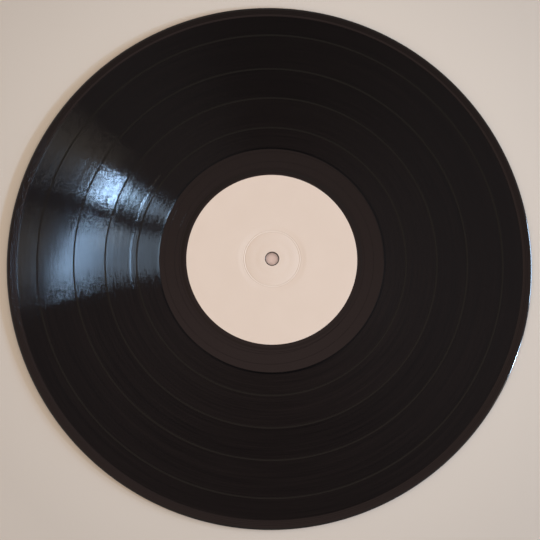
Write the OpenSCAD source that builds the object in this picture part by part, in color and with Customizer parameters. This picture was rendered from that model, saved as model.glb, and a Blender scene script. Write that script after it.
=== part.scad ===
// A 12-inch long-playing record: one pressed disc with a paper label moulded into each side.
// The disc lies on the label of side B, with z = 0 on the surface it rests on and its axis on z.
// Side A faces up. Each side carries one groove that winds inwards, anticlockwise from the rim.

/* [Disc] */
// Outside diameter of the disc
disc_d = 301.6; // [300.8:0.1:302.4]
// Thickness of the grooved part
play_t = 1.4; // [1.2:0.05:1.6]
// Thickness across the raised rim
rim_t = 1.8; // [1.7:0.05:2]
// Thickness across the raised label area
label_area_t = 2.1; // [2.05:0.05:2.4]
// Diameter of the raised label area, before its shoulder falls
label_area_d = 100.8; // [100.4:0.1:101.4]
// Width of that shoulder
shoulder_w = 2; // [1:0.1:2.2]

/* [Rim] */
// Radius at which the programme starts, at the foot of the raised rim
programme_start_r = 145.4; // [145:0.05:145.6]
// Width of the slope up to the raised rim
rim_slope_w = 1.2; // [0.8:0.1:1.6]
// Width over which the top of the rim rounds off
rim_round_w = 1.6; // [1:0.1:2]
// Height of the flat cut edge
edge_h = 0.7; // [0.5:0.05:1]

/* [Spindle hole] */
// Diameter of the hole that fits a turntable's spindle
hole_d = 7.24; // [7.2:0.01:7.33]
// Size of the chamfer at each mouth of the hole
hole_chamfer = 0.25; // [0.1:0.05:0.3]

/* [Labels] */
// Diameter of each paper label
label_d = 98; // [97:0.1:100]
// Diameter of the hole in the paper
label_hole_d = 8.2; // [8:0.1:8.6]
// Thickness of the paper, which lies flush with the vinyl around it
label_t = 0.15; // [0.1:0.01:0.2]
// Gap all round between the paper and its seat
label_gap = 0.1; // [0.05:0.05:0.15]

/* [Marks of the press] */
// Radius where the low mound round the hole starts to fall
mound_r = 6.5; // [6:0.1:7]
// Radius where it ends
mound_foot_r = 10.5; // [10:0.1:11]
// How far it falls
mound_fall = 0.12; // [0.05:0.01:0.2]
// Radius of the round channel pressed into the label
ring_r = 16.05; // [15.9:0.05:16.2]
// Depth of the channel, below the face of the label
ring_depth = 0.2; // [0.15:0.01:0.25]
// Radius of the fine ridge outside the channel
ridge_r = 16.65; // [16.5:0.05:16.8]
// Fall of the paper outside the ridge, before it comes level again
ridge_fall = 0.06; // [0.03:0.01:0.1]

/* [Grooves] */
// Width of a groove at the surface
groove_w = 0.12; // [0.08:0.01:0.16]
// Distance between turns of the lead-in groove
lead_in_pitch = 0.88; // [0.8:0.02:0.9]
// Radius at which the lead-in groove starts
lead_in_r = 148.95; // [148.6:0.05:149]
// Radius at which the programme ends and the lead-out groove starts
programme_end_r = 64.4; // [62:0.1:66]
// Diameter of the closed groove that the lead-out runs into
lock_groove_d = 106.4; // [106:0.1:107]
// Turns of the lead-out groove
lead_out_turns = 2; // [1:1:3]
// Radii of the gaps between the tracks of side A, outermost first
gaps_a = [133.7, 113.0, 95.3, 77.4]; // [66:0.1:144]
// Radii of the gaps between the tracks of side B, outermost first
gaps_b = [129.5, 108.8, 92.1, 75.6]; // [66:0.1:144]
// Distance between turns in the tracks, many times the real 0.1 mm so that each turn is a solid cut
track_pitch = 3.4; // [3:0.1:6]
// Width of a gap
gap_w = 0.9; // [0.7:0.05:1.2]
// How far the cut surface of a track lies below the gaps, on average
track_fall = 0.03; // [0.02:0.01:0.05]

/* [Hidden] */
$fn = 180;
disc_r = disc_d / 2;
mid_z = label_area_t / 2;
play_z = play_t / 2;
rim_z = rim_t / 2;
track_z = play_z - track_fall;
groove_depth = groove_w / 2;
track_ramp = 0.1;
channel_half_w = 0.35;
ridge_half_w = 0.45;
level_r = 20;
lead_in_turns = 3;
aim_inside = 0.3;
curve_steps = 6;
eps = 0.05;

// Heights are measured from the disc's mid-plane, and each outline runs outwards from the hole.

// Points between two ends, along a curve that is level at both
function s_curve(from, to) = [
    for (i = [0:curve_steps])
        let (t = i / curve_steps, s = (1 - cos(180 * t)) / 2)
            [from.x + (to.x - from.x) * t, from.y + (to.y - from.y) * s]
];

// Points of an arc that starts level at from and curves down to the point to
function round_over(from, to) =
    let (
        w = to.x - from.x,
        h = from.y - to.y,
        r = (w * w + h * h) / (2 * h),
        turn = asin(w / r)
    )
    [for (i = [0:curve_steps]) let (a = turn * i / curve_steps)
        [from.x + r * sin(a), from.y - r + r * cos(a)]];

// The face that the press gives the label: a mound, a channel, a ridge, then flat paper
function label_face(r_in, r_out, top) = concat(
    [[r_in, top]],
    s_curve([mound_r, top], [mound_foot_r, top - mound_fall]),
    [
        [ring_r - channel_half_w, top - mound_fall],
        [ring_r, top - ring_depth],
        [ridge_r, top]
    ],
    s_curve([ridge_r + ridge_half_w, top - ridge_fall], [level_r, top]),
    [[r_out, top]]
);

// One band of tracks, sunk by track_fall between the radii r_in and r_out
function band(r_in, r_out) = [
    [r_in, play_z],
    [r_in + track_ramp, track_z],
    [r_out - track_ramp, track_z],
    [r_out, play_z]
];

// The bands that are left when the gaps are taken out of the programme
function bands(gaps) =
    let (
        last = len(gaps) - 1,
        starts = concat([programme_end_r], [for (i = [last:-1:0]) gaps[i] + gap_w / 2]),
        ends = concat([for (i = [last:-1:0]) gaps[i] - gap_w / 2], [programme_start_r])
    )
    [for (i = [0:last + 1]) each band(starts[i], ends[i])];

// One face of the disc, from the mouth of the hole to the cut edge
function disc_face(gaps) = concat(
    [
        [hole_d / 2, mid_z - hole_chamfer],
        [hole_d / 2 + hole_chamfer, mid_z],
        [label_hole_d / 2 - label_gap, mid_z]
    ],
    label_face(label_hole_d / 2 - label_gap, label_d / 2 + label_gap, mid_z - label_t),
    [[label_d / 2 + label_gap, mid_z]],
    s_curve([label_area_d / 2, mid_z], [label_area_d / 2 + shoulder_w, play_z]),
    bands(gaps),
    s_curve([programme_start_r + eps, play_z], [programme_start_r + rim_slope_w, rim_z]),
    round_over([disc_r - rim_round_w, rim_z], [disc_r, edge_h / 2])
);

function turned_over(points) = [for (i = [len(points) - 1:-1:0]) [points[i].x, -points[i].y]];

// The groove winds in from the rim in half turns, each a plain arc of a V-shaped cut.
// The cutter of half a turn of groove, which comes in from the radius r_from to r_to.
// Its centre sits between the two radii, so the next half turn follows on without a kink.
module half_turn(r_from, r_to, surface_z, angle = 180) {
    reach = groove_w / 2 + eps;
    translate([(r_from - r_to) / 2, 0, surface_z])
        rotate_extrude(angle = angle)
            translate([(r_from + r_to) / 2, 0])
                polygon([[-reach, eps], [0, -groove_depth], [reach, eps]]);
}

// A groove that winds inwards by the same pitch in every turn, and may stop short of its last seam
module winding(r_from, r_to, half_turns, surface_z, short_by = 0) {
    step = (r_from - r_to) / half_turns;
    for (i = [0:half_turns - 1])
        rotate([0, 0, 180 * i])
            half_turn(r_from - i * step, r_from - (i + 1) * step, surface_z,
                      i == half_turns - 1 ? 180 - short_by : 180);
}

// The lead-out groove heads a little inside the lock groove, and stops where it has run into it
module lead_out(r_from, lock_r) {
    half_turns = 2 * lead_out_turns;
    step = (r_from - lock_r + aim_inside) / half_turns;
    winding(r_from, lock_r - aim_inside, half_turns, play_z, acos(1 - 2 * aim_inside / step));
}

// The radii where the groove crosses the seam, half a turn apart, through one track
function track_path(r_from, r_to) =
    let (steps = 2 * round((r_from - r_to) / track_pitch))
    [for (i = [0:steps - 1]) r_from - (r_from - r_to) * i / steps];

// The same through the whole programme: the half turn between two tracks crosses their gap
function programme_path(gaps) =
    let (
        starts = concat([programme_start_r - groove_w], [for (r = gaps) r - gap_w / 2]),
        ends = concat([for (r = gaps) r + gap_w / 2], [programme_end_r])
    )
    concat([for (i = [0:len(gaps)]) each track_path(starts[i], ends[i])], [programme_end_r]);

// The grooves of one side: lead-in on the rim, one unbroken spiral from the first track through the
// lead-out, and the closed lock groove that it runs into
module face_grooves(gaps) {
    lock_r = lock_groove_d / 2;
    path = programme_path(gaps);
    winding(lead_in_r, lead_in_r - lead_in_turns * lead_in_pitch, 2 * lead_in_turns, rim_z);
    for (i = [0:len(path) - 2])
        rotate([0, 0, 180 * i])
            half_turn(path[i], path[i + 1], track_z);
    rotate([0, 0, 180 * (len(path) - 1)])
        lead_out(programme_end_r, lock_r);
    winding(lock_r, lock_r, 2, play_z);
}

// The pressed disc, with its raised rim and label area and the grooves of both sides
module vinyl_disc() {
    color([0.06, 0.055, 0.06])
        translate([0, 0, mid_z])
            difference() {
                rotate_extrude()
                    polygon(concat(disc_face(gaps_a), turned_over(disc_face(gaps_b))));
                face_grooves(gaps_a);
                rotate([180, 0, 0])
                    face_grooves(gaps_b);
            }
}

// One paper label, pressed to the shape of its seat, with its face up
module label() {
    face = label_face(label_hole_d / 2, label_d / 2, mid_z);
    seat = [for (i = [len(face) - 1:-1:0]) [face[i].x, face[i].y - label_t]];
    rotate_extrude()
        polygon(concat(face, seat));
}

module label_side_a() {
    color([0.87, 0.8, 0.74])
        translate([0, 0, mid_z])
            label();
}

module label_side_b() {
    color([0.87, 0.8, 0.74])
        translate([0, 0, mid_z])
            rotate([180, 0, 0])
                label();
}

vinyl_disc();
label_side_a();
label_side_b();
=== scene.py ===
# %% [markdown]
# # A 12-inch vinyl record
#
# A record looks like the simplest thing there is: a flat black disc with a paper label. What makes
# it look real is how it handles light. The run-out near the label is a dark mirror, the tracks are
# covered in grooves that gather every window into a bright fan, and the rim has a soft raised bead
# that catches a thin line of light. This lesson spins the disc like work on a lathe, cuts the
# widely spaced turns of the groove as real geometry, and leaves the fine grooves, hundreds of
# turns too thin to model, to the materials.

# %% Load the frame
import math

import bpy
import numpy as np
from mathutils import Matrix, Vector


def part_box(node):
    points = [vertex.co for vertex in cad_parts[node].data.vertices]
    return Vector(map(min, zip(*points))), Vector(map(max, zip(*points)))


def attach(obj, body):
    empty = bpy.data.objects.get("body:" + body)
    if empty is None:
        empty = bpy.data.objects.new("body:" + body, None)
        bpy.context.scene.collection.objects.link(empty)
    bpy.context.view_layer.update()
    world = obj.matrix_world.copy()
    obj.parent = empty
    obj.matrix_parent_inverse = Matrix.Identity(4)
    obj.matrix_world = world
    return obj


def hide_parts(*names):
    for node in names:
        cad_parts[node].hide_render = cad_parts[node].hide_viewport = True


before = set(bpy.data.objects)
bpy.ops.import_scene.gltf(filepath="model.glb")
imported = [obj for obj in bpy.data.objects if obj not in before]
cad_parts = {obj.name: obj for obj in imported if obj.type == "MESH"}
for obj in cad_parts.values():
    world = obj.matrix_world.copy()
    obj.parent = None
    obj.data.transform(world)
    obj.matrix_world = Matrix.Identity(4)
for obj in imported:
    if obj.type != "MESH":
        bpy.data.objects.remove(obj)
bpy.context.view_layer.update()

# %% [markdown]
# ## Sizes
#
# The frame gives the outside of the disc and of the label. The rest are the sizes of a long
# player. Heights are measured from the disc's mid-plane, because both sides are pressed alike, and
# radii from the axis of the spindle hole.

# %% Sizes of the disc
mm = 0.001
disc_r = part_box("vinyl_disc")[1].x
top_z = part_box("vinyl_disc")[1].z
mid_z = top_z / 2
label_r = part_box("label_side_a")[1].x

hole_r = 3.62 * mm
hole_chamfer = 0.25 * mm
label_hole_r = 4.1 * mm
label_t = 0.15 * mm
label_gap = 0.1 * mm
label_area_r = 50.4 * mm
shoulder_w = 2 * mm
play_z = 0.7 * mm
rim_z = 0.9 * mm
edge_z = 0.35 * mm
rim_slope_w = 1.2 * mm
rim_round_w = 1.6 * mm
print("disc radius", round(disc_r / mm, 2), "mm, label radius", round(label_r / mm, 2), "mm")

# %% Sizes of the tracks and of the gaps between them
programme_start_r = 145.4 * mm
programme_end_r = 64.4 * mm
gap_w = 0.84 * mm
track_fall = 0.03 * mm
gaps_a = [r * mm for r in (133.7, 113.0, 95.3, 77.4)]
gaps_b = [r * mm for r in (129.5, 108.8, 92.1, 75.6)]
print("tracks on each side:", len(gaps_a) + 1)

# %% Sizes of the groove where its turns are wide apart
groove_depth = 0.06 * mm
groove_wall = math.radians(47)
gap_groove_wall = math.radians(40)
lead_in_r = 148.95 * mm
lead_in_pitch = 0.88 * mm
lead_in_turns = 3
lock_groove_r = 53.2 * mm
lead_out_turns = 2
print("the groove starts at", round(lead_in_r / mm, 2), "and ends at", round(lock_groove_r / mm, 2))

# %% [markdown]
# ## The camera
#
# The photograph was taken from almost straight above, a little to the left and towards the
# viewer's side. The disc's outline and the label's outline are two circles whose real sizes are
# known, so the way they sit in the picture gives the camera's place, its tilt and its lens.

# %% Camera
focal_pixels = 710.2
picture_w = 540
tilt_x, tilt_y = 0.1051, -0.0288
aim = np.array([-1.167, -6.396, 0.0]) * mm + np.array([0, 0, mid_z])
camera_distance = 407.57 * mm

turn_x = np.array([[1, 0, 0],
                   [0, math.cos(tilt_x), -math.sin(tilt_x)],
                   [0, math.sin(tilt_x), math.cos(tilt_x)]])
turn_y = np.array([[math.cos(tilt_y), 0, math.sin(tilt_y)],
                   [0, 1, 0],
                   [-math.sin(tilt_y), 0, math.cos(tilt_y)]])
camera_axes = turn_y @ turn_x
eye = aim + camera_axes[:, 2] * camera_distance

bpy.ops.object.camera_add(location=eye)
camera = bpy.context.object
camera.matrix_world = Matrix([[*camera_axes[i], eye[i]] for i in range(3)] + [[0, 0, 0, 1]])
camera.data.sensor_width = 36
camera.data.lens = focal_pixels / picture_w * camera.data.sensor_width
camera.data.clip_start = 0.01
bpy.context.scene.camera = camera
print("camera at, mm:", np.round(eye / mm, 1), "lens", round(camera.data.lens, 2), "mm")

# %% [markdown]
# ## Modelling helpers
#
# Operators act on whatever is selected, so each piece starts from an empty selection. A lathe
# piece is drawn as a closed outline of radius and height, point by point, and then spun round the
# axis. After the spin, doubled points are merged and the normals are made to point outwards. The
# merging distance is well below the smallest distance between two points of an outline.

# %% Helper: start with nothing selected
def start_fresh():
    if bpy.context.object and bpy.context.object.mode != "OBJECT":
        bpy.ops.object.mode_set(mode="OBJECT")
    bpy.ops.object.select_all(action="DESELECT")


# %% Helper: spin an outline like work on a lathe
disc_steps, label_steps = 256, 192
merge_distance = 0.002 * mm


def turned(name, outline, steps):
    start_fresh()
    bpy.ops.mesh.primitive_plane_add(size=mm, location=(0, 0, 0))
    piece = bpy.context.object
    piece.name = piece.data.name = name
    bpy.ops.object.mode_set(mode="EDIT")
    bpy.ops.mesh.select_all(action="SELECT")
    bpy.ops.mesh.merge(type="CENTER")
    here = (0, 0)
    for i, there in enumerate([*outline, outline[0]]):
        move = (there[0] - here[0], 0, there[1] - here[1])
        if i == 0:
            bpy.ops.transform.translate(value=move)
        else:
            bpy.ops.mesh.extrude_region_move(TRANSFORM_OT_translate={"value": move})
        here = there
    bpy.ops.mesh.select_all(action="SELECT")
    bpy.ops.mesh.remove_doubles(threshold=merge_distance)
    bpy.ops.mesh.spin(steps=steps, angle=2 * math.pi, center=(0, 0, 0), axis=(0, 0, 1))
    bpy.ops.mesh.select_all(action="SELECT")
    bpy.ops.mesh.remove_doubles(threshold=merge_distance)
    bpy.ops.mesh.normals_make_consistent(inside=False)
    bpy.ops.object.mode_set(mode="OBJECT")
    print(name, "spun from", len(outline), "points:", len(piece.data.polygons), "faces")
    return piece


# %% Helpers: curves for outlines
def s_curve(start, end, steps=10):
    """Points from start to end along a curve that is level at both ends."""
    shares = [i / steps for i in range(steps + 1)]
    return [(start[0] + (end[0] - start[0]) * t,
             start[1] + (end[1] - start[1]) * (1 - math.cos(math.pi * t)) / 2)
            for t in shares]


def round_over(start, end, steps=12):
    """Points of an arc that is level at start and curves down to end."""
    w, h = end[0] - start[0], start[1] - end[1]
    r = (w * w + h * h) / (2 * h)
    full = math.asin(w / r)
    angles = [full * i / steps for i in range(steps + 1)]
    return [(start[0] + r * math.sin(a), start[1] - r + r * math.cos(a)) for a in angles]


def softened(corner, before, after, size, steps=3):
    """A corner of an outline, rounded off over size along both of its sides."""
    corner = np.array(corner)
    ways = [np.array(p) - corner for p in (before, after)]
    a, b = (corner + size * w / np.linalg.norm(w) for w in ways)
    shares = [i / steps for i in range(steps + 1)]
    return [tuple((1 - t) ** 2 * a + 2 * t * (1 - t) * corner + t * t * b) for t in shares]


# %% [markdown]
# ## The outline of the disc
#
# One face of a record, from the hole outwards, has a chamfered hole, a seat for the label, the
# flat label area, a soft shoulder, the run-out, the tracks with their smooth gaps, and the raised
# rim with its rounded shoulder. The rim and the label area keep the tracks off whatever the
# record lies on. The outline follows these in order, and the underside is the same outline turned
# over, with its own gaps.
#
# Smooth shading bends the light across the whole of a face. So a guard point sits very close
# beside each slope: the bend stays on the slope, and the flat next to it stays a true mirror.

# %% The face of the label and its seat
guard_w = 0.03 * mm
mound_r, mound_foot_r, mound_fall = 6.5 * mm, 10.5 * mm, 0.12 * mm
channel_r, channel_half_w, channel_depth = 15.5 * mm, 0.3 * mm, 0.19 * mm
channel_floor_w, ridge_top_w = 0.05 * mm, 0.1 * mm
ridge_r, ridge_fall = 15.95 * mm, 0.09 * mm
outer_channel_r = 16.45 * mm
level_r = 20 * mm


def label_face(top):
    """A mound round the hole, two fine channels with a ridge between them, then flat paper."""
    floor = top - channel_depth
    return [
        (mound_r - guard_w, top),
        *s_curve((mound_r, top), (mound_foot_r, top - mound_fall), 8),
        (mound_foot_r + guard_w, top - mound_fall),
        *s_curve((channel_r - channel_half_w, top - mound_fall), (channel_r, floor), 4),
        *s_curve((channel_r + channel_floor_w, floor), (ridge_r, top - ridge_fall), 6),
        *s_curve((ridge_r + ridge_top_w, top - ridge_fall), (outer_channel_r, floor), 5),
        *s_curve((outer_channel_r + channel_floor_w, floor),
                 (outer_channel_r + channel_half_w, top - mound_fall), 4),
        *s_curve((outer_channel_r + 2 * channel_half_w, top - mound_fall), (level_r, top), 5),
        (level_r + 2 * guard_w, top),
    ]


# %% Gaps between the tracks
flank_w = 0.06 * mm
outer_flank_w = 3 * flank_w
level_from, level_until = 2.2 * flank_w, 4 * flank_w


def gap_points(r):
    """A gap is a smooth land between two sunken tracks, steep inside and soft outside."""
    inner, outer = r - gap_w / 2, r + gap_w / 2
    low = play_z - track_fall
    return [
        (inner - guard_w, low),
        *s_curve((inner, low), (inner + flank_w, play_z), 5),
        (inner + level_from, play_z),
        (outer - level_until, play_z),
        *s_curve((outer - outer_flank_w, play_z), (outer, low), 4),
        (outer + guard_w, low),
    ]


# %% The outline of one face, from the mouth of the hole to the cut edge
foot_w, foot_h = 0.09 * mm, 0.05 * mm
end_slope_w = 0.15 * mm
seat_clearance = 0.02 * mm
soft_edge, fine_soft_edge = 0.08 * mm, 0.05 * mm


def disc_face(gaps):
    """The outline of one face. Every second point is enough for the seat, which paper covers."""
    lip_r = label_hole_r - label_gap
    seat_r = label_r + label_gap
    seat_z = mid_z - label_t - seat_clearance
    low = play_z - track_fall
    foot = (programme_start_r + foot_w, low + foot_h)
    edge = (disc_r, edge_z)
    rounding = round_over((disc_r - rim_round_w, rim_z), edge, 9)
    return [
        *softened((hole_r, mid_z - hole_chamfer), (hole_r, 0),
                  (hole_r + hole_chamfer, mid_z), soft_edge),
        *softened((hole_r + hole_chamfer, mid_z), (hole_r, mid_z - hole_chamfer),
                  (lip_r, mid_z), fine_soft_edge),
        (lip_r, mid_z),
        (lip_r, seat_z),
        *label_face(seat_z)[::2],
        (seat_r, seat_z),
        *softened((seat_r, mid_z), (seat_r, seat_z), (label_area_r, mid_z), fine_soft_edge),
        *s_curve((label_area_r, mid_z), (label_area_r + shoulder_w, play_z), 10),
        (label_area_r + shoulder_w + guard_w, play_z),
        (programme_end_r - guard_w, play_z),
        *s_curve((programme_end_r, play_z), (programme_end_r + end_slope_w, low), 4),
        (programme_end_r + end_slope_w + guard_w, low),
        *[p for r in reversed(gaps) for p in gap_points(r)],
        (programme_start_r - guard_w, low),
        *s_curve((programme_start_r, low), foot, 6),
        *s_curve((foot[0] + guard_w, foot[1]), (programme_start_r + rim_slope_w, rim_z), 9),
        (programme_start_r + rim_slope_w + guard_w, rim_z),
        (disc_r - rim_round_w - guard_w, rim_z),
        *rounding[:-1],
        *softened(edge, rounding[-2], (disc_r, 0), soft_edge),
    ]


# %% The disc, spun from the outlines of both faces
def turned_over(points):
    return [(r, -z) for r, z in reversed(points)]


def raised(points):
    return [(r, z + mid_z) for r, z in points]


both_faces = raised(disc_face(gaps_a) + turned_over(disc_face(gaps_b)))
disc = turned("pressed_disc", both_faces, disc_steps)

# %% [markdown]
# ## Cutting the groove
#
# Each side has one groove that winds inwards. Where its turns are wide apart, in the lead-in, the
# gaps, the lead-out and the lock, it shows as a fine line, so it is cut here. A groove is a V, so
# its cutter is a four-sided rod that stands on its corner. Spinning the rod by half turns about
# two centres in turn gives a spiral with no kink: each half turn starts where the last one ended,
# in the same direction, but on a smaller radius. Tilting the axis of a half turn a little lets
# the groove climb down the slope of the rim.
#
# The walls of a groove stand at about 45 degrees, and each mirrors one height of the room. Here
# they stand two degrees steeper, and five degrees flatter in the gaps. That puts the fine lines
# of light where a real disc shows them.

# %% A cutter that winds in through knots of radius and height, half a turn apart
cutter_reach = 0.14 * mm
arc_steps = 90
cutter_merge_distance = 0.001 * mm


def groove_cutter(name, knots, wall_angle, last_arc):
    start_fresh()
    steepness = math.tan(wall_angle)
    lift = steepness * cutter_reach - groove_depth
    closed = knots[0] == knots[-1]
    bpy.ops.mesh.primitive_circle_add(
        vertices=4, radius=cutter_reach, fill_type="NOTHING" if closed else "NGON",
        location=(knots[0][0], 0, knots[0][1] + lift), rotation=(math.pi / 2, 0, 0))
    cutter = bpy.context.object
    cutter.name = cutter.data.name = name
    cutter.scale.y = steepness
    bpy.ops.object.transform_apply(location=True, rotation=True, scale=True)
    bpy.ops.object.mode_set(mode="EDIT")
    bpy.ops.mesh.select_all(action="SELECT")
    side = 1
    for i, ((r_from, z_from), (r_to, z_to)) in enumerate(zip(knots, knots[1:])):
        arc = last_arc if i == len(knots) - 2 else math.pi
        tilt = side * math.asin((z_to - z_from) / (r_from + r_to))
        bpy.ops.mesh.spin(
            steps=arc_steps, angle=-arc,
            center=(side * (r_from - r_to) / 2, 0, (z_from + z_to) / 2 + lift),
            axis=(math.sin(tilt), 0, math.cos(tilt)), use_auto_merge=False)
        side = -side
    bpy.ops.mesh.select_all(action="SELECT")
    bpy.ops.mesh.remove_doubles(threshold=cutter_merge_distance)
    bpy.ops.mesh.normals_make_consistent(inside=False)
    bpy.ops.object.mode_set(mode="OBJECT")
    return cutter


# %% A piece cut by a cutter, which is then thrown away
def cut(piece, cutter):
    start_fresh()
    bpy.context.view_layer.objects.active = piece
    piece.select_set(True)
    difference = piece.modifiers.new("cut", "BOOLEAN")
    difference.operation = "DIFFERENCE"
    difference.solver = "MANIFOLD"
    difference.object = cutter
    before = len(piece.data.polygons)
    bpy.ops.object.modifier_apply(modifier=difference.name)
    print(cutter.name, "cut", piece.name, ":", before, "->", len(piece.data.polygons), "faces")
    bpy.data.meshes.remove(cutter.data)


# %% The knots of every wide turn on one side, with the angle of its walls and its last arc
def even_knots(r_from, r_to, half_turns, z):
    return [(r_from + (r_to - r_from) * i / half_turns, z) for i in range(half_turns + 1)]


def wide_turns(gaps):
    low = play_z - track_fall
    groove_w = 2 * groove_depth
    down_r = lead_in_r - lead_in_turns * lead_in_pitch
    lead_in = even_knots(lead_in_r, down_r, 2 * lead_in_turns, rim_z)
    lead_in += [((down_r + programme_start_r) / 2, (rim_z + low) / 2),
                (programme_start_r - groove_w, low)]
    runs = {"lead_in": (lead_in, groove_wall, math.pi)}
    for i, r in enumerate(gaps):
        inside = gap_w / 2 - groove_w
        knots = even_knots(r + inside, r - inside, 2, play_z)
        runs[f"gap_{i + 1}"] = (knots, gap_groove_wall, math.pi)
    aim_inside = 0.3 * mm
    lead_out = even_knots(programme_end_r - groove_w, lock_groove_r - aim_inside,
                          2 * lead_out_turns, play_z)
    step = lead_out[0][0] - lead_out[1][0]
    runs["lead_out"] = (lead_out, groove_wall, math.acos(2 * aim_inside / step - 1))
    runs["lock"] = (even_knots(lock_groove_r, lock_groove_r, 2, play_z), groove_wall, math.pi)
    return runs


# %% Cut side A, turn the disc over, and cut side B
for side, gaps in {"a": gaps_a, "b": gaps_b}.items():
    for name, (knots, wall_angle, last_arc) in wide_turns(gaps).items():
        cutter = groove_cutter(f"{name}_{side}", raised(knots), wall_angle, last_arc)
        if side == "b":
            start_fresh()
            cutter.select_set(True)
            bpy.context.view_layer.objects.active = cutter
            bpy.ops.object.mode_set(mode="EDIT")
            bpy.ops.mesh.select_all(action="SELECT")
            bpy.ops.transform.rotate(value=math.pi, orient_axis="X", center_override=(0, 0, mid_z))
            bpy.ops.object.mode_set(mode="OBJECT")
        cut(disc, cutter)

# %% [markdown]
# ## The labels
#
# Each label is a ring of paper that was pressed into the hot vinyl, so it follows the same mound,
# channels and ridge, and its face lies flush with the vinyl round it. It is spun like the disc.
# The second label is made by turning a copy over, and its normals are set again after the turn.

# %% The label of side A
inner_bevel, outer_bevel = 0.03 * mm, 0.04 * mm


def label_outline():
    top, under = mid_z, mid_z - label_t
    face = [(label_hole_r, top - inner_bevel), (label_hole_r + inner_bevel, top),
            *label_face(top),
            (label_r - outer_bevel, top), (label_r, top - outer_bevel)]
    seat = [(label_r, under), *[(r, z - label_t) for r, z in reversed(label_face(top))],
            (label_hole_r, under)]
    return face + seat


label_a = turned("paper_label_a", raised(label_outline()), label_steps)

# %% The label of side B, a copy turned over
start_fresh()
label_a.select_set(True)
bpy.context.view_layer.objects.active = label_a
bpy.ops.object.duplicate()
label_b = bpy.context.object
label_b.name = label_b.data.name = "paper_label_b"
bpy.ops.object.mode_set(mode="EDIT")
bpy.ops.mesh.select_all(action="SELECT")
bpy.ops.transform.rotate(value=math.pi, orient_axis="X", center_override=(0, 0, mid_z))
bpy.ops.mesh.normals_make_consistent(inside=False)
bpy.ops.object.mode_set(mode="OBJECT")
print("labels:", label_a.name, "and", label_b.name)

# %% Smooth shading, with every corner over the crisp angle kept sharp
crisp_angle = math.radians(30)
for piece in (disc, label_a, label_b):
    start_fresh()
    piece.select_set(True)
    bpy.context.view_layer.objects.active = piece
    bpy.ops.object.shade_smooth_by_angle(angle=crisp_angle)
    piece.data.calc_loop_triangles()
    print(piece.name, len(piece.data.loop_triangles), "triangles, box, mm:",
          [round(d / mm, 3) for d in piece.dimensions])

# %% [markdown]
# ## Shader formulas
#
# Patterns are easiest to read as formulas, such as 1 - mask * 0.2. The small class below wraps a
# socket, and adds the Math node that each operator stands for. Every other node comes from its
# add method, which takes the node's type, its settings, what goes into its sockets, and the number
# of the output that is wanted.

# %% A wrapped socket
length_output = 1


class Wire:
    def __init__(self, tree, socket=None):
        self.tree, self.socket = tree, socket

    def add(self, kind, settings=None, sockets=None, output=0):
        node = self.tree.nodes.new("ShaderNode" + kind)
        for key, value in (settings or {}).items():
            if key == "stops":
                ramp = node.color_ramp.elements
                while len(ramp) < len(value):
                    ramp.new(1)
                for element, (place, colour) in zip(ramp, value):
                    element.position, element.color = place, (*colour, 1)
            else:
                setattr(node, key, value)
        for key, value in (sockets or {}).items():
            if isinstance(value, Wire):
                self.tree.links.new(value.socket, node.inputs[key])
            else:
                node.inputs[key].default_value = value
        return Wire(self.tree, node.outputs[output]) if node.outputs else None

    def maths(self, operation, *values):
        return self.add("Math", {"operation": operation}, dict(enumerate(values)))

    def vector(self, operation, *values, output=0):
        return self.add("VectorMath", {"operation": operation}, dict(enumerate(values)), output)

    def __add__(self, other):
        return self.maths("ADD", self, other)

    __radd__ = __add__

    def __sub__(self, other):
        return self.maths("SUBTRACT", self, other)

    def __rsub__(self, other):
        return self.maths("SUBTRACT", other, self)

    def __mul__(self, other):
        return self.maths("MULTIPLY", self, other)

    __rmul__ = __mul__

    def __truediv__(self, other):
        return self.maths("DIVIDE", self, other)

    def __pow__(self, other):
        return self.maths("POWER", self, other)

    def limited(self, low, high):
        """The value, kept between low and high."""
        return self.maths("MINIMUM", self.maths("MAXIMUM", self, low), high)

    def rising(self, start, end):
        """0 where the value is start or before it, 1 where it is end or past it."""
        sockets = {0: self, 1: start, 2: end, 3: 0.0, 4: 1.0}
        return self.add("MapRange", {"clamp": True}, sockets)

    def scaled(self, amount):
        """The vector, times a number."""
        return self.add("VectorMath", {"operation": "SCALE"}, {0: self, 3: amount})

    def length(self):
        return self.vector("LENGTH", self, output=length_output)


# %% Helpers for materials
def new_material(name):
    material = bpy.data.materials.new(name)
    material.use_nodes = True
    material.node_tree.nodes.clear()
    return material, Wire(material.node_tree)


def noise(vector, scale, detail=2, roughness=0.5):
    """A soft random pattern from 0 to 1, with features about 1 / scale across."""
    return vector.add("TexNoise", {"noise_dimensions": "3D"}, {
        "Vector": vector, "Scale": scale, "Detail": detail, "Roughness": roughness})


def mixed(share, a, b):
    """Colour a where share is 0 and b where it is 1."""
    return share.add("Mix", {"data_type": "RGBA"}, {0: share, 6: a, 7: b}, 2)


# %% Helpers for places on a piece
object_output = 3


def disc_places(start):
    """The place on the piece, the way out from the axis, and the radius in millimetres."""
    place = start.add("TexCoord", output=object_output)
    flat = start.vector("MULTIPLY", place, (1, 1, 0))
    return place, start.vector("NORMALIZE", flat), flat.length() / mm


def rings(out, radius, per_mm, per_turn, detail=2):
    """Noise drawn out along the grooves: fine across them and slow round the disc."""
    along = out.vector("MULTIPLY", out, (per_turn, per_turn, 0))
    across = out.add("CombineXYZ", {}, {2: radius * per_mm})
    return noise(out.vector("ADD", along, across), 1, detail)


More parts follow.
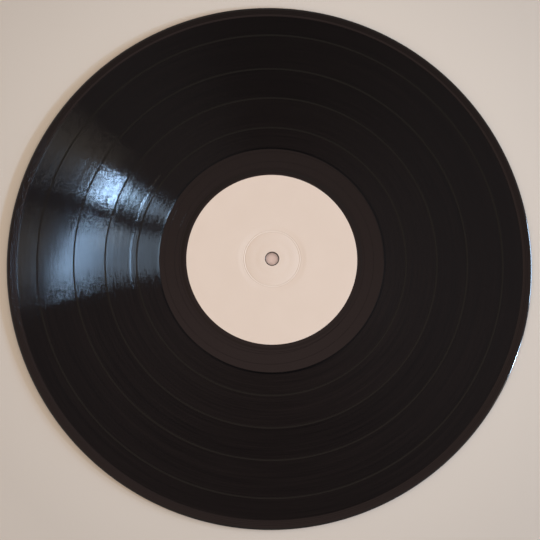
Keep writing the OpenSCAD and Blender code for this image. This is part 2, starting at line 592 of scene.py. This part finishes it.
# %% [markdown]
# ## Smooth vinyl
#
# The run-out and the rim are pressed from a polished stamper, so they are a black mirror. Vinyl is
# a plastic with a refractive index near 1.5, which a specular level of 0.5 gives. A real record is
# never quite clean: a faint haze and a few hairlines from its sleeve change the roughness.
#
# Two more finishes come from the same recipe. The gaps are a little paler and less of a mirror.
# The walls of the lead-in groove are wavy along their length, so they break a window up into faint
# dashes. Their normal is tipped along the groove by a fine noise.

# %% Materials of the smooth parts, the gaps and the lead-in groove
vinyl_black = (0.0036, 0.0031, 0.0036, 1)
hairline_start, hairline_gain = 0.69, 14


def pressed_smooth(name, shine, colour, ripple=0):
    material, start = new_material(name)
    place, out, radius = disc_places(start)
    haze = noise(place, 45, 3)
    hairlines = rings(out, radius, 3.1, 2.2, 1)
    hairline = ((hairlines - hairline_start) * hairline_gain).limited(0, 1)
    wobble = start.add("Bump", {}, {
        "Height": noise(place, 160, 2), "Distance": 0.0025 * mm, "Strength": 1.0})
    if ripple:
        along = start.vector("CROSS_PRODUCT", (0, 0, 1), out)
        tremor = (noise(place, 900, 1) - 0.5) * ripple
        wobble = start.vector("NORMALIZE", start.vector("ADD", wobble, along.scaled(tremor)))
    surface = start.add("BsdfPrincipled", {}, {
        "Base Color": colour, "Roughness": 0.07 + haze * 0.05 + hairline * 0.05,
        "Specular IOR Level": shine, "Normal": wobble})
    start.add("OutputMaterial", {}, {0: surface})
    return material


smooth_vinyl = pressed_smooth("smooth_vinyl", 0.5, vinyl_black)
gap_vinyl = pressed_smooth("gap_vinyl", 0.30, (0.0062, 0.0066, 0.0058, 1))
groove_vinyl = pressed_smooth("groove_vinyl", 0.12, vinyl_black, ripple=0.5)
print("smooth finishes:", smooth_vinyl.name, gap_vinyl.name, groove_vinyl.name)

# %% [markdown]
# ## Grooved vinyl
#
# A track is hundreds of turns of a V-shaped groove, each about half as wide as a hair, with flat
# lands between them. They are too fine to model, but what they do to light is simple. The lands
# are little flat mirrors. The two walls of the groove are mirrors tilted by 45 degrees, one
# towards the rim and one towards the centre. The recorded sound makes the walls wave, which
# spreads a reflection along the radius but hardly along the groove. So the material is three
# glossy layers: one flat and two with their normal tilted, both stretched by anisotropy. That
# makes a low window shine back from the far side of the disc as a bright fan.
#
# Quiet music leaves narrow walls and sharp reflections, and loud music spreads them, so the
# roughness of the walls follows the radius, track by track. So do the other values below:
#
# - how much of the surface is wall, which sets how bright the fans are
# - how far the walls lean, as the tangent of their angle from flat: a ring near the end of one
#   track leans a little less and mirrors a higher part of the window, and the first ring of all
#   leans a little more and mirrors a lower part, so that both show as bright arcs
# - the streaks, which change the lean from one ring to the next
# - the speckle and the comb, which turn the walls sideways, in grains and in short lines, and
#   break up the straight sides of the fans

# %% A value that follows the radius
ramp_start, ramp_end = 60, 150


def by_radius(radius, stops):
    """A value that follows the radius in millimetres, through the given stops."""
    places = [((r - ramp_start) / (ramp_end - ramp_start), (v, v, v)) for r, v in stops]
    share = (radius - ramp_start) / (ramp_end - ramp_start)
    return radius.add("ValToRGB", {"stops": places}, {0: share})


# %% How each track is cut: stops of radius in millimetres and value
loudness_stops = [(64, 0.12), (76.8, 0.12), (78, 0.10), (94.5, 0.10), (96, 0.085),
                  (112, 0.085), (114, 0.078), (133, 0.078), (135, 0.095), (146, 0.095)]
wall_stops = [(64.4, 0.98), (65.4, 0.98), (65.8, 0.66), (80.4, 0.66), (80.8, 0.72), (81.2, 0.72),
              (81.6, 0.68), (95, 0.68), (96, 0.74), (113, 0.74), (114, 0.72), (146, 0.72)]
lean_stops = [(64.3, 0.965), (65.4, 0.965), (65.9, 1.0), (80.2, 1.0), (80.7, 0.925), (81.3, 0.925),
              (81.8, 1.0), (144.3, 1.0), (144.6, 1.042), (145.2, 1.042), (145.5, 1.0)]
streak_stops = [(64, 0.05), (94.5, 0.05), (96, 0.035), (133, 0.035), (134, 0.02), (146, 0.02)]
comb_stops = [(64, 0.14), (94, 0.14), (96, 0.02), (146, 0.02)]
speckle_stops = [(64, 0.28), (90, 0.28), (96, 0.48), (146, 0.48)]
most_speckle = 0.05
print("stops from", loudness_stops[0][0], "to", loudness_stops[-1][0], "mm")

# %% Patterns of the tracks, drawn out along the grooves or spread as grain
grooved_vinyl, start = new_material("grooved_vinyl")
grooved_vinyl.cycles.use_bump_map_correction = False
place, out, radius = disc_places(start)
along = start.vector("CROSS_PRODUCT", (0, 0, 1), out)
bands = rings(out, radius, 0.45, 1.2, 2)
fine_bands = rings(out, radius, 1.9, 3.0, 3)
comb = rings(out, radius, 1.3, 8.0, 2)
streaks = rings(out, radius, 1.0, 1.0, 2)
grain = noise(place, 1400, 2)
speckle = noise(place, 2600, 1)
bumpy = start.add("Bump", {}, {"Height": grain, "Distance": 0.007 * mm, "Strength": 1.0})

# %% Material of the tracks
streak = (streaks - 0.5) * by_radius(radius, streak_stops)
walls = by_radius(radius, wall_stops) * (0.60 + 0.26 * bands + 0.54 * fine_bands + 9 * streak)
spread = by_radius(radius, loudness_stops) * (0.72 + 0.30 * bands + 0.26 * fine_bands)
lean = by_radius(radius, lean_stops) - streak
grains = (speckle - 0.5) * by_radius(radius, speckle_stops)
lines = (comb - 0.5) * by_radius(radius, comb_stops)
sway = grains.limited(-most_speckle, most_speckle) + lines


def wall(side):
    """The wall on one side of the groove: it leans along the radius and sways along the groove."""
    leaning = start.vector("ADD", bumpy, out.scaled(lean * side))
    normal = start.vector("NORMALIZE", start.vector("ADD", leaning, along.scaled(sway)))
    return start.add("BsdfPrincipled", {}, {
        "Base Color": vinyl_black, "Roughness": spread, "Normal": normal,
        "Specular IOR Level": 0.15, "Anisotropic": 0.3, "Anisotropic Rotation": 0.25})


land = start.add("BsdfPrincipled", {}, {
    "Base Color": vinyl_black, "Roughness": 0.14, "Normal": bumpy})
both_walls = start.add("MixShader", {}, {0: 0.5, 1: wall(1), 2: wall(-1)})
surface = start.add("MixShader", {}, {0: walls, 1: land, 2: both_walls})
start.add("OutputMaterial", {}, {0: surface})

# %% [markdown]
# ## The cut edge
#
# After pressing, the flash is trimmed off the edge with a knife while the disc turns. That leaves
# a duller band with fine lines round it.

# %% Material of the edge
cut_vinyl, start = new_material("cut_vinyl")
place, out, radius = disc_places(start)
scrapes = noise(start.vector("MULTIPLY", place, (20, 20, 9000)), 1, 3)
scraped = start.add("Bump", {}, {"Height": scrapes, "Distance": 0.006 * mm, "Strength": 1.0})
surface = start.add("BsdfPrincipled", {}, {
    "Base Color": mixed(scrapes, (0.006, 0.005, 0.006, 1), (0.011, 0.010, 0.011, 1)),
    "Roughness": 0.3 + 0.15 * scrapes, "Normal": scraped})
start.add("OutputMaterial", {}, {0: surface})

# %% Give each face of the disc its finish, by its place
finishes = (smooth_vinyl, grooved_vinyl, cut_vinyl, gap_vinyl, groove_vinyl)
smooth, grooved, cut_edge, gap_face, lead_in_wall = range(len(finishes))
disc.data.materials.clear()
for material in finishes:
    disc.data.materials.append(material)

edge_band_w = 0.02 * mm
level_normal, sloping_normal = 0.9999, 0.8
corner_share = math.cos(math.pi / disc_steps)


def in_track(r, gaps):
    if not programme_end_r + end_slope_w + guard_w < r < programme_start_r - guard_w:
        return False
    return all(abs(r - gap) > gap_w / 2 + guard_w for gap in gaps)


def finish_at(r, z, up, gaps):
    """The finish of a face at a radius and a height, whose normal points up or down by up."""
    if r > disc_r - edge_band_w:
        return cut_edge
    if up > level_normal and in_track(r, gaps) and abs(z - mid_z) < play_z:
        return grooved
    if any(abs(r - gap) <= gap_w / 2 + guard_w for gap in gaps):
        return gap_face
    if up < sloping_normal and programme_start_r < r < lead_in_r + cutter_reach:
        return lead_in_wall
    return smooth


counts = [0] * len(finishes)
for face in disc.data.polygons:
    r = math.hypot(face.center.x, face.center.y) / corner_share
    z = face.center.z
    finish = finish_at(r, z, abs(face.normal.z), gaps_a if z > mid_z else gaps_b)
    face.material_index = finish
    counts[finish] += 1
print("faces: smooth, grooved, cut edge, gaps, lead-in:", counts)

# %% [markdown]
# ## Label paper
#
# The label is thin uncoated paper in a warm cream, pressed hard and hot, so it is flatter and a
# little glossier than loose paper. Close up it shows short fibres and a faint cloudiness, which is
# the pulp being thicker in some places than in others. The paper on the ridge near the hole is
# painted a little paler, a painted highlight, and the channels on both sides of it are painted a
# little darker, a painted shade.

# %% Cream paper, with its clouds and fibres
label_paper, start = new_material("label_paper")
place, out, radius = disc_places(start)
clouds = noise(place, 60, 4, 0.55)
pulp = noise(place, 900, 3, 0.6)
fibres = noise(start.vector("MULTIPLY", place, (1, 3.2, 1)), 2600, 2, 0.6)
cream = mixed(clouds, (0.695, 0.578, 0.490, 1), (0.745, 0.622, 0.532, 1))
pale_cream = mixed(clouds, (0.715, 0.592, 0.500, 1), (0.750, 0.630, 0.545, 1))
paper = mixed((pulp - 0.5) * 0.35 + 0.5, cream, pale_cream)
weave = start.add("Bump", {}, {
    "Height": pulp * 0.6 + fibres * 0.4, "Distance": 0.025 * mm, "Strength": 1.0})


# %% Material of the labels
def line_at(r, half_w):
    """1 on a circle of the given radius in millimetres, and 0 from half_w beside it."""
    off = radius.maths("ABSOLUTE", radius - r) / half_w
    return (1 - off).limited(0, 1)


# Painted highlight: the paper on the ridge is paler. Painted shade: the paper in the two channels
# beside it is darker.
painted_ridge_light = line_at(15.95, 0.4) * 0.6
painted_channel_shade = (line_at(15.45, 0.35) + line_at(16.5, 0.4)) * 0.16
paper = mixed(painted_ridge_light, paper, (0.80, 0.69, 0.61, 1))
paper = mixed(painted_channel_shade, paper, (0.42, 0.33, 0.27, 1))
surface = start.add("BsdfPrincipled", {}, {
    "Base Color": paper, "Roughness": 0.58 + 0.12 * pulp, "Specular IOR Level": 0.35,
    "Normal": weave})
start.add("OutputMaterial", {}, {0: surface})
for label in (label_a, label_b):
    label.data.materials.append(label_paper)

# %% [markdown]
# ## The table
#
# The record lies on a plain pale table. Its paint is a little paler round the record, where the
# light of the room pools. The spot that shows through the spindle hole is paler too, because the
# narrow hole shades it more here than on a real table.

# %% Table
table_w, table_drop = 3.2, 0.01 * mm
pool_middle, pool_end_r, pool_fade = (15 * mm, 20 * mm, 0), 215 * mm, 80 * mm
hole_spot_r = 4.5

start_fresh()
bpy.ops.mesh.primitive_plane_add(size=table_w, location=(0, 0, -table_drop))
table = bpy.context.object
table.name = "table"

# %% Material of the table
table_paint, start = new_material("table_paint")
place = start.add("TexCoord", output=object_output)
stains = noise(place, 7, 3)
from_pool = start.vector("SUBTRACT", place, pool_middle).length()
pool = ((pool_end_r - from_pool) / pool_fade).limited(0, 1)
dim_paint = mixed(stains, (0.530, 0.478, 0.428, 1), (0.554, 0.503, 0.453, 1))
pool_paint = mixed(stains, (0.619, 0.559, 0.499, 1), (0.649, 0.590, 0.530, 1))
paint = mixed(pool, dim_paint, pool_paint)
from_axis = place.length() / mm
under_hole = from_axis.maths("LESS_THAN", from_axis, hole_spot_r)
paint = mixed(under_hole, paint, (1.0, 0.83, 0.83, 1))
surface = start.add("BsdfPrincipled", {}, {
    "Base Color": paint, "Roughness": 0.95, "Specular IOR Level": 0.08})
start.add("OutputMaterial", {}, {0: surface})
table.data.materials.append(table_paint)
print("table", table_w, "m wide")

# %% [markdown]
# ## The room
#
# The record lies in a warm room, with daylight from two low windows to the right. The world is
# the room, and it has three parts. Past the table the camera sees a plain backdrop. The table and
# the paper are lit by one even, soft, warm colour, which also fills the shadow at the left. The
# vinyl is a mirror, so it needs a room to look at, with light and dark parts: a warm ceiling that
# is darker at its far side, walls that are lighter opposite the windows and darker straight ahead
# and behind, and a lighter corner at the near right.

# %% The world, and the directions in it
direction_output, camera_ray_output, glossy_ray_output = 0, 0, 3

world = bpy.data.worlds.new("warm_room")
world.use_nodes = True
world.node_tree.nodes.clear()
bpy.context.scene.world = world
start = Wire(world.node_tree)
direction = start.add("TexCoord", output=direction_output)
parts = start.add("SeparateXYZ", {}, {0: direction})
east, north, height = (Wire(parts.tree, part) for part in parts.socket.node.outputs)
print("world:", world.name)

# %% The room that the vinyl mirrors
overhead_stops = [
    (0.0, (0.44, 0.36, 0.31)), (0.72, (0.44, 0.36, 0.31)), (0.84, (0.44, 0.30, 0.25)),
    (0.93, (0.46, 0.31, 0.26)), (1.0, (0.59, 0.40, 0.35))]
overhead = start.add("ValToRGB", {"stops": overhead_stops}, {0: height})
near_floor = height.rising(0.56, 0.45)
near_top = height.rising(0.72, 0.86)
far_side = north.maths("MAXIMUM", north, 0)
near_side = north.maths("MINIMUM", north, 0)
corner = 0 - east * near_side - 0.2
lighter_corner = 2.0 * corner.maths("MAXIMUM", corner, 0)
level = (0.62 - 0.22 * east) * (1 - 0.85 * north ** 4) + lighter_corner
low_room = mixed(level, (0, 0, 0, 1), (1.0, 0.90, 0.84, 1))
room = mixed(near_floor, overhead, low_room)
room = mixed(near_top * far_side * 0.80, room, (0.02, 0.03, 0.02, 1))

# %% The three parts put together
seen = start.add("LightPath", output=camera_ray_output)
mirrored = start.add("LightPath", output=glossy_ray_output)
soft_light = (0.82, 0.71, 0.605, 1)
backdrop = (0.60, 0.54, 0.49, 1)
glow = start.add("Background", {}, {
    0: mixed(seen, mixed(mirrored, soft_light, room), backdrop), 1: 1.0})
start.add("OutputWorld", {}, {0: glow})
print("soft light", soft_light[:3], "backdrop", backdrop[:3])

# %% [markdown]
# ## The windows
#
# The groove walls turn the two windows into two fans of light at the left. Along a fan the radius
# shows the height in the window: near the label the walls mirror the bottom of it, and near the
# rim the top. So each window is a stack of soft panes, each with its own brightness, and two
# bright clouds stand near the top of the narrow one. Above each window a broad, weak pane stands
# for the warm wall over it. The glints on the rim at the right are the same windows.

# %% A soft pane of light
window_distance = 3.0


def window(name, azimuth, low, high, width, radiance, colour, shape="RECTANGLE"):
    """A soft pane seen from the record between two elevations, all angles in degrees."""
    middle, turn = math.radians((low + high) / 2), math.radians(azimuth)
    height = 2 * window_distance * math.tan(math.radians(high - low) / 2)
    across = 2 * window_distance * math.tan(math.radians(width) / 2)
    place = (window_distance * math.cos(middle) * math.cos(turn),
             window_distance * math.cos(middle) * math.sin(turn),
             window_distance * math.sin(middle))
    bpy.ops.object.light_add(type="AREA", location=place,
                             rotation=(math.pi / 2 - middle, 0, turn + math.pi / 2))
    pane = bpy.context.object
    pane.name = name
    pane.data.shape = shape
    pane.data.size, pane.data.size_y = across, height
    pane.data.color = colour
    pane.data.energy = math.pi * across * height * radiance
    pane.visible_camera = False
    print(name, "at", [round(c, 2) for c in place], "power", round(pane.data.energy, 2), "W")


# %% The wide window
haze, pale_sky, blue_sky = (0.68, 0.84, 1.0), (0.58, 0.78, 1.0), (0.44, 0.68, 1.0)
warm_wall = (1.0, 0.86, 0.68)

window("wide_window_1", 5.4, 3.5, 7.0, 17.8, 8, pale_sky)
window("wide_window_2", 5.4, 7.0, 11.8, 17.8, 21, pale_sky)
window("wide_window_3", -0.7, 11.8, 13.4, 5.6, 44, haze)
window("wide_window_4", 8.2, 11.8, 13.4, 12.2, 52, blue_sky)
window("wide_window_5", 5.6, 13.4, 15.6, 17.4, 103, blue_sky)

# %% The narrow window, and the walls above both
window("narrow_window_1", -15.7, 3.5, 9.0, 8.6, 15, haze)
window("narrow_window_2", -15.7, 9.0, 11.8, 8.2, 19, haze)
window("narrow_window_3", -15.7, 11.8, 14.0, 7.6, 4, haze)
window("narrow_window_4", -15.9, 14.0, 16.0, 8.2, 40, pale_sky)
window("bright_cloud_1", -15.4, 14.2, 15.9, 5.8, 235, blue_sky, "ELLIPSE")
window("bright_cloud_2", -16.2, 14.1, 16.9, 4.2, 300, blue_sky, "ELLIPSE")
window("wide_lintel", 6.5, 16.8, 23.5, 16, 4.6, warm_wall)
window("narrow_lintel", -20.5, 16.8, 23.5, 13, 4.6, warm_wall)

# %% Colour settings
view = bpy.context.scene.view_settings
view.view_transform = "Standard"
print("colours are shown by the", view.view_transform, "transform")

# %% [markdown]
# ## Ties
#
# Each piece is tied to the record's one body, and the solid that it stands for is hidden.

# %% Ties
for piece, node, material in ((disc, "vinyl_disc", "vinyl"),
                              (label_a, "label_side_a", "label_paper"),
                              (label_b, "label_side_b", "label_paper")):
    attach(piece, "root")
    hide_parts(node)
